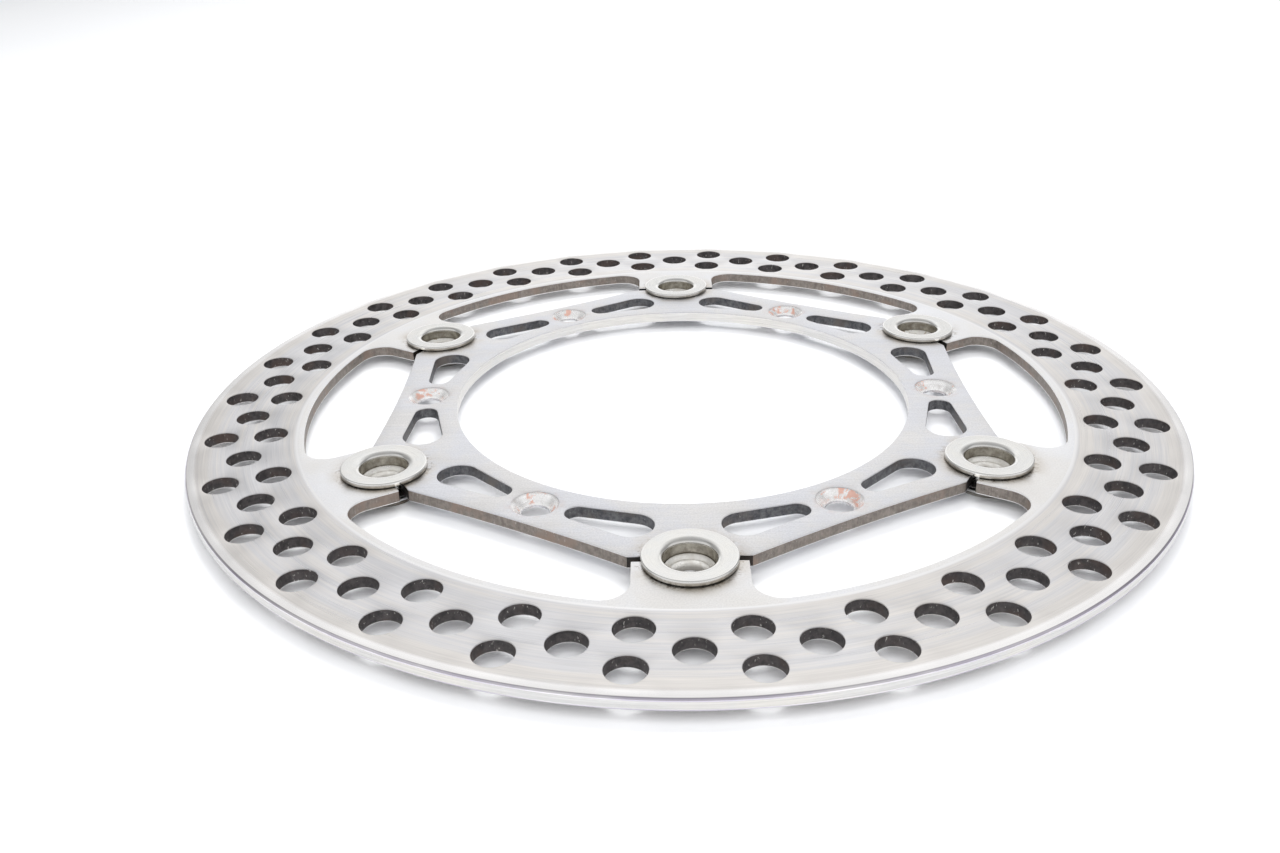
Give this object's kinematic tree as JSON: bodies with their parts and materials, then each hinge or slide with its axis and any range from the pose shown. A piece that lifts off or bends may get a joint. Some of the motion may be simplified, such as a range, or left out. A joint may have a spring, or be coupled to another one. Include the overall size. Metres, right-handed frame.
{
  "type": "brake disc rotor",
  "caption": "Floating motorcycle brake disc: a drilled steel friction ring held to a slotted hexagonal carrier by hollow round buttons.",
  "frame": {"origin": "on the hub axis, in the plane of the rivet flanges, the lowest faces of the disc", "axes": "+Z along the hub axis towards the outboard side; one button lies towards -Y"},
  "size_m": [0.26, 0.26, 0.0072],
  "materials": {
    "ring_steel": "ground stainless steel with fine circular scratches and warm brake-heat streaks",
    "carrier_steel": "satin steel sheet with brown laser-cut edges",
    "bush_plate": "smooth turned steel with bright nickel plate",
    "rivet_plate": "turned steel with dull yellowish plate",
    "washer_zinc": "flat zinc-plated steel",
    "spring_steel": "dark oiled spring steel"
  },
  "bodies": {
    "carrier": {"carrier": "carrier_steel"},
    "friction_ring": {"brake_ring": "ring_steel"},
    "button_1": {"button_bush_1": "bush_plate", "button_rivet_1": "rivet_plate", "flat_washer_1": "washer_zinc", "wave_washer_1": "spring_steel"},
    "button_2": {"button_bush_2": "bush_plate", "button_rivet_2": "rivet_plate", "flat_washer_2": "washer_zinc", "wave_washer_2": "spring_steel"},
    "button_3": {"button_bush_3": "bush_plate", "button_rivet_3": "rivet_plate", "flat_washer_3": "washer_zinc", "wave_washer_3": "spring_steel"},
    "button_4": {"button_bush_4": "bush_plate", "button_rivet_4": "rivet_plate", "flat_washer_4": "washer_zinc", "wave_washer_4": "spring_steel"},
    "button_5": {"button_bush_5": "bush_plate", "button_rivet_5": "rivet_plate", "flat_washer_5": "washer_zinc", "wave_washer_5": "spring_steel"},
    "button_6": {"button_bush_6": "bush_plate", "button_rivet_6": "rivet_plate", "flat_washer_6": "washer_zinc", "wave_washer_6": "spring_steel"}
  },
  "joints": [
    {"name": "ring_float", "type": "slide", "parent": "carrier", "child": "friction_ring", "axis": [0, 0, 1], "range_m": [-0.0002, 0.0002], "stiffness_N_per_m": 60000},
    {"name": "button_1_turn", "type": "hinge", "parent": "carrier", "child": "button_1", "pos_m": [0, -0.085, 0.0043], "axis": [0, 0, 1], "continuous": true},
    {"name": "button_2_turn", "type": "hinge", "parent": "carrier", "child": "button_2", "pos_m": [0.07361, -0.0425, 0.0043], "axis": [0, 0, 1], "continuous": true},
    {"name": "button_3_turn", "type": "hinge", "parent": "carrier", "child": "button_3", "pos_m": [0.07361, 0.0425, 0.0043], "axis": [0, 0, 1], "continuous": true},
    {"name": "button_4_turn", "type": "hinge", "parent": "carrier", "child": "button_4", "pos_m": [0, 0.085, 0.0043], "axis": [0, 0, 1], "continuous": true},
    {"name": "button_5_turn", "type": "hinge", "parent": "carrier", "child": "button_5", "pos_m": [-0.07361, 0.0425, 0.0043], "axis": [0, 0, 1], "continuous": true},
    {"name": "button_6_turn", "type": "hinge", "parent": "carrier", "child": "button_6", "pos_m": [-0.07361, -0.0425, 0.0043], "axis": [0, 0, 1], "continuous": true}
  ]
}
